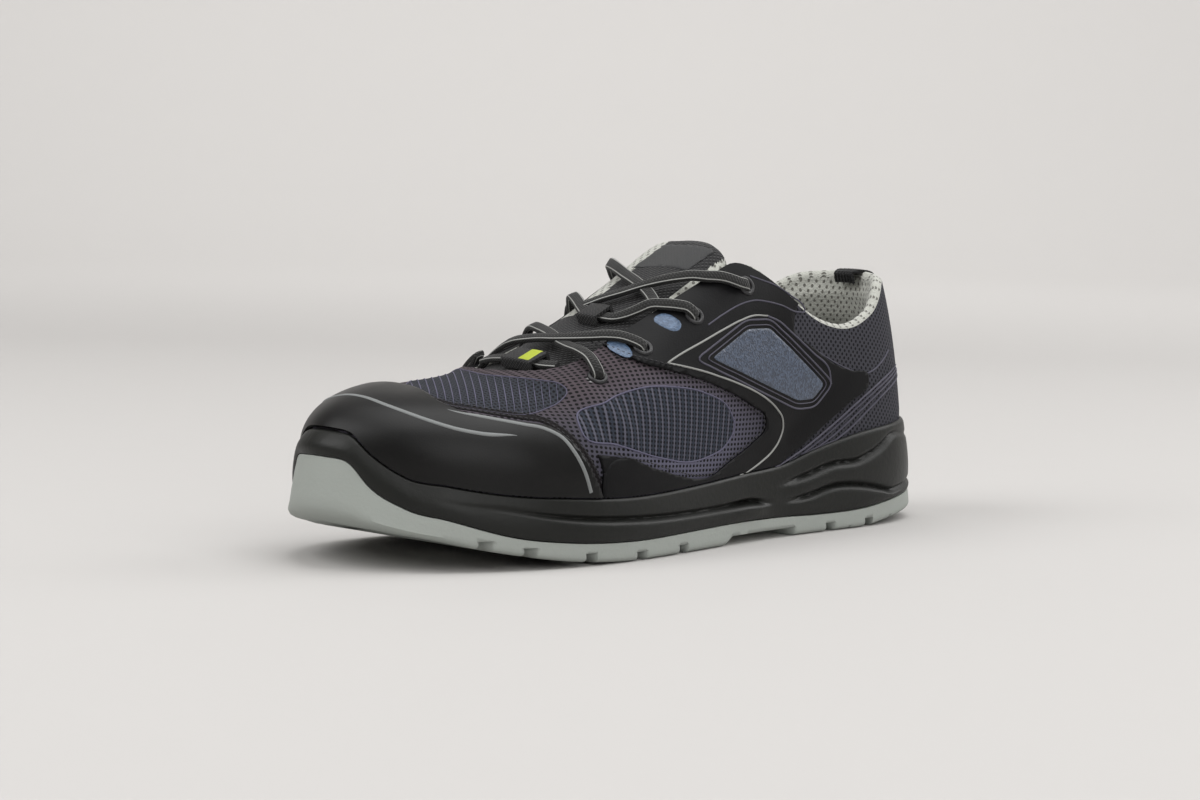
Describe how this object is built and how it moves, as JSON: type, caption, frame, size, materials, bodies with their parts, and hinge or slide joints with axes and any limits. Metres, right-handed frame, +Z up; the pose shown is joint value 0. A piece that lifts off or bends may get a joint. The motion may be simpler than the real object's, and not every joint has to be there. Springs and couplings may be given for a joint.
{
  "type": "safety sneaker",
  "caption": "Low-cut lace-up safety sneaker for the left foot, with a padded collar, toe cap, deep midsole and a lugged outsole with a raised toe bumper.",
  "frame": {"origin": "centre of the bounding box in plan, on the floor under the sole", "axes": "-Y towards the toe, +Y towards the heel, +X towards the outer side of the foot, +Z up"},
  "size_m": [0.1072, 0.3, 0.1125],
  "materials": {
    "outsole_rubber": "satin pale grey moulded rubber",
    "midsole_foam": "satin black moulded foam",
    "insole_cloth": "matt grey lining cloth",
    "upper_mesh": "dark purple-grey engineered mesh",
    "toe_cap_film": "black fused film with a fine grain",
    "overlay_film": "black fused film",
    "tongue_cloth": "dark woven cloth",
    "lace_cord": "dark flat braid with pale edge lines",
    "keeper_webbing": "black webbing",
    "pull_tab_webbing": "black ribbed webbing"
  },
  "bodies": {
    "root": {"outsole": "outsole_rubber", "midsole": "midsole_foam", "insole": "insole_cloth", "upper": "upper_mesh", "toe_cap": "toe_cap_film", "film_overlay_lateral": "overlay_film", "film_overlay_medial": "overlay_film", "tongue": "tongue_cloth", "lace_row_one": "lace_cord", "lace_cross_front": "lace_cord", "lace_cross_top": "lace_cord", "lace_keeper": "keeper_webbing", "throat_tag": "keeper_webbing", "pull_tab": "pull_tab_webbing"}
  },
  "joints": []
}
